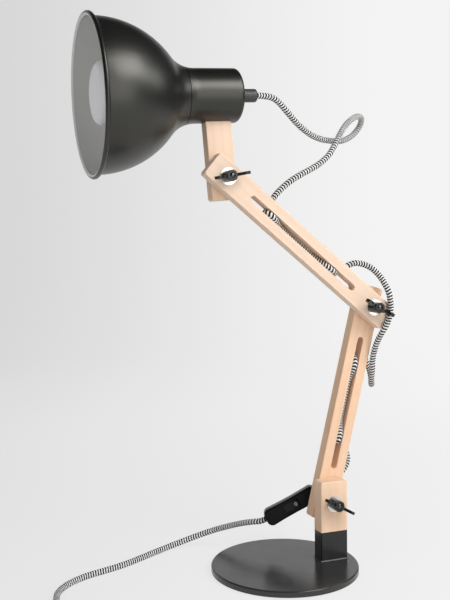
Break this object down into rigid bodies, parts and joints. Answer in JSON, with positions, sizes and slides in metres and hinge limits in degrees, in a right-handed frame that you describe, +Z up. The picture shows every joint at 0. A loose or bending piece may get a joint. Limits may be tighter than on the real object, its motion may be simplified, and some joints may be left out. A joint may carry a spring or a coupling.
{
  "type": "swing-arm desk lamp",
  "caption": "Desk lamp with slotted wooden planks clamped by wing nuts, a spun black shade on a cup, a steel disc foot and a braided lead with an inline switch.",
  "frame": {"origin": "centre of the foot on the table", "axes": "+Z up, the planks swing in the XZ plane, the light looks towards -X"},
  "size_m": [0.3853, 0.2578, 0.5821],
  "materials": {
    "foot_pad": "matt",
    "foot_steel": "satin powder coat",
    "black_steel": "satin black",
    "bright_steel": "plain",
    "pine": "sanded, unvarnished",
    "black_enamel": "satin black outside, white inside",
    "black_plastic": "fine texture",
    "holder_plastic": "matt",
    "brass": "plain",
    "aluminium": "pressed",
    "frosted_glass": "frosted",
    "nickel": "bright nickel",
    "fibre": "plain",
    "braid": "black and white braid"
  },
  "bodies": {
    "base": {"base_pad": "foot_pad", "base_disc": "foot_steel", "base_sleeve": "black_steel", "sleeve_screws": "bright_steel", "post": "pine", "switch_back": "black_plastic", "switch_front": "black_plastic", "rocker_axle": "bright_steel", "switch_screws": "bright_steel", "cord_post_run": "braid", "cord_table": "braid", "cord_coil": "braid", "cord_tail": "braid", "plug_body": "black_plastic", "plug_pins": "bright_steel"},
    "lower_arm": {"lower_arm": "pine", "base_bolt": "black_steel", "base_friction_washer": "fibre", "base_washer": "nickel", "elbow_washer": "nickel", "elbow_bolt": "black_steel", "elbow_friction_washer": "fibre", "cord_lower_arm": "braid", "cord_elbow_loop": "braid"},
    "upper_arm": {"upper_arm": "pine", "cord_upper_arm": "braid", "cord_head_loop": "braid"},
    "head": {"head_stick": "pine", "head_bolt": "black_steel", "head_friction_washer": "fibre", "head_washer": "nickel", "lamp_cup": "black_enamel", "lamp_shade": "black_enamel", "cord_gland": "black_plastic", "holder_nipple": "bright_steel", "nipple_nut": "bright_steel", "lamp_holder": "holder_plastic", "holder_shell": "brass", "holder_contact": "brass", "stick_screw": "bright_steel"},
    "bulb": {"bulb_cap": "aluminium", "bulb_glass": "frosted_glass"},
    "base_nut": {"base_wing_nut": "black_steel"},
    "elbow_nut": {"elbow_wing_nut": "black_steel"},
    "head_nut": {"head_wing_nut": "black_steel"},
    "rocker": {"switch_rocker": "black_plastic"}
  },
  "joints": [
    {"name": "lower_arm_swing", "type": "hinge", "parent": "base", "child": "lower_arm", "pos_m": [0.0541, -0.0049, 0.07], "axis": [0, 1, 0], "range_deg": [-60, 75], "deforming": ["cord_post_run"]},
    {"name": "upper_arm_swing", "type": "hinge", "parent": "lower_arm", "child": "upper_arm", "pos_m": [0.1068, 0.00405, 0.28329], "axis": [0, -1, 0], "range_deg": [-60, 75], "deforming": ["cord_elbow_loop"]},
    {"name": "head_tilt", "type": "hinge", "parent": "upper_arm", "child": "head", "pos_m": [-0.06413, 0.00405, 0.42369], "axis": [0, 1, 0], "range_deg": [-110, 70], "deforming": ["cord_head_loop"]},
    {"name": "base_nut_turn", "type": "hinge", "parent": "lower_arm", "child": "base_nut", "pos_m": [0.0541, -0.02, 0.07], "axis": [0, 1, 0], "range_deg": [0, 360]},
    {"name": "elbow_nut_turn", "type": "hinge", "parent": "lower_arm", "child": "elbow_nut", "pos_m": [0.1068, -0.017, 0.28329], "axis": [0, 1, 0], "range_deg": [0, 360]},
    {"name": "head_nut_turn", "type": "hinge", "parent": "head", "child": "head_nut", "pos_m": [-0.06413, -0.017, 0.42369], "axis": [0, 1, 0], "range_deg": [0, 360]},
    {"name": "bulb_turn", "type": "hinge", "parent": "head", "child": "bulb", "pos_m": [-0.10786, 0.0113, 0.5076], "axis": [-0.9995, 0, -0.0314], "range_deg": [0, 360]},
    {"name": "rocker_tilt", "type": "hinge", "parent": "base", "child": "rocker", "pos_m": [0.02757, 0.04047, 0.05611], "axis": [-0.4018, 0.2655, 0.8764], "range_deg": [0, 18]}
  ]
}
